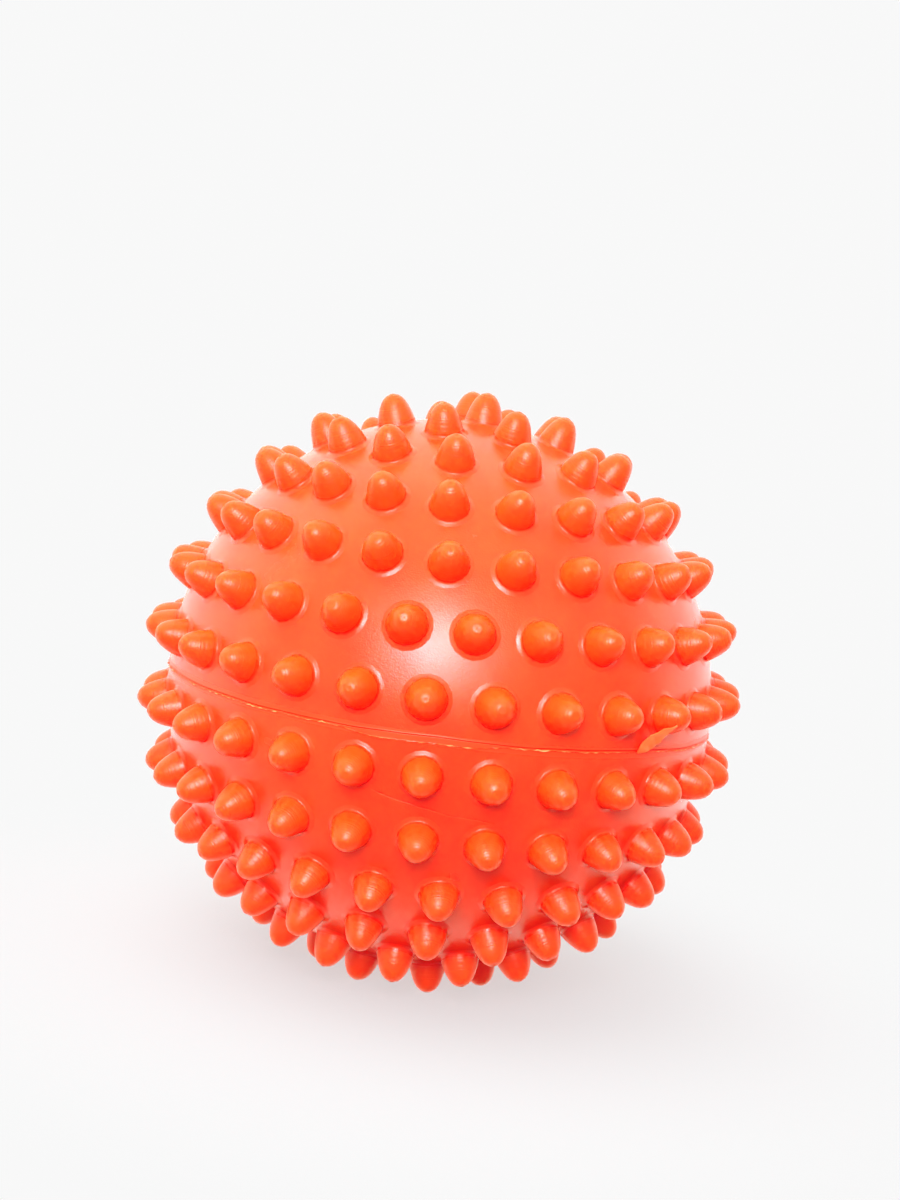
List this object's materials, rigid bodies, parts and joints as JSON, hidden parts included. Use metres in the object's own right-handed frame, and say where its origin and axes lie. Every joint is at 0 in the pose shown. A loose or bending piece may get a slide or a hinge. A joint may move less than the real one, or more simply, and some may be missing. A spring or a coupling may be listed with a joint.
{
  "type": "sensory ball",
  "caption": "Hollow soft vinyl ball covered in rows of rounded nubs, with a welded seam round its equator and an air valve whose plug pulls out at the lower pole.",
  "frame": {"origin": "centre of the ball", "axes": "+Z along the mould axis, from the valve at the lower pole to the upper pole; -Y faces the viewer of the picture"},
  "size_m": [0.0992, 0.0992, 0.0974],
  "materials": {
    "skin_vinyl": "soft satin vinyl with a broad, slightly milky shine",
    "weld_vinyl": "satin vinyl, slightly paler and rougher than the skin",
    "valve_vinyl": "satin vinyl"
  },
  "bodies": {
    "ball": {"upper_skin": "skin_vinyl", "lower_skin": "skin_vinyl", "seam_weld": "weld_vinyl", "valve_bush": "valve_vinyl"},
    "plug": {"valve_plug": "valve_vinyl"}
  },
  "joints": [
    {"name": "plug_pull", "type": "slide", "parent": "ball", "child": "plug", "axis": [0, 0, -1], "range_m": [0, 0.0095]}
  ]
}
